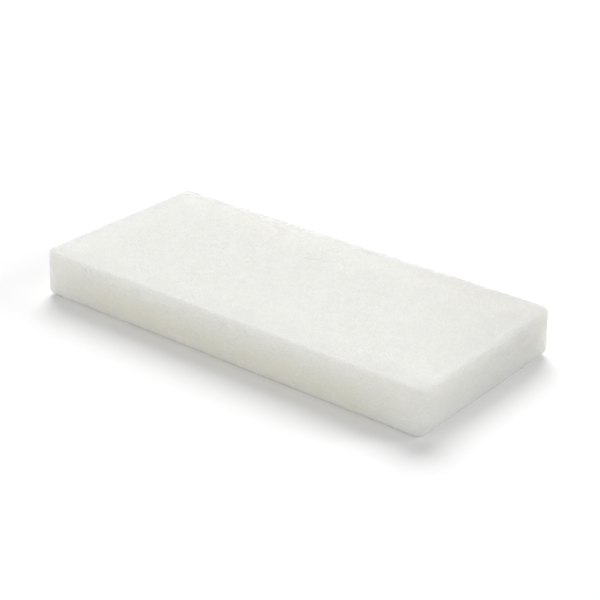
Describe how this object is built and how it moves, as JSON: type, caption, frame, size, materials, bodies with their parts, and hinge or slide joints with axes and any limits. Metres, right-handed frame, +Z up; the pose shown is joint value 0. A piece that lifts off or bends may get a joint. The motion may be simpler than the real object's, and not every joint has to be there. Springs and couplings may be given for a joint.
{
  "type": "scrub pad",
  "caption": "Thick rectangular slab of white non-woven fibre web with softly rounded corners and rims, for scrubbing by hand or in a hook-faced holder.",
  "frame": {"origin": "middle of the underside, on the surface the pad lies on", "axes": "+X along the length, +Y across the width, +Z up through the thickness, from the underside to the top face"},
  "size_m": [0.2546, 0.119, 0.028],
  "materials": {
    "fibre_web": "matt off-white web of crimped synthetic fibres bonded at their crossings, open and slightly translucent"
  },
  "bodies": {
    "root": {"scrub_pad": "fibre_web"}
  },
  "joints": []
}
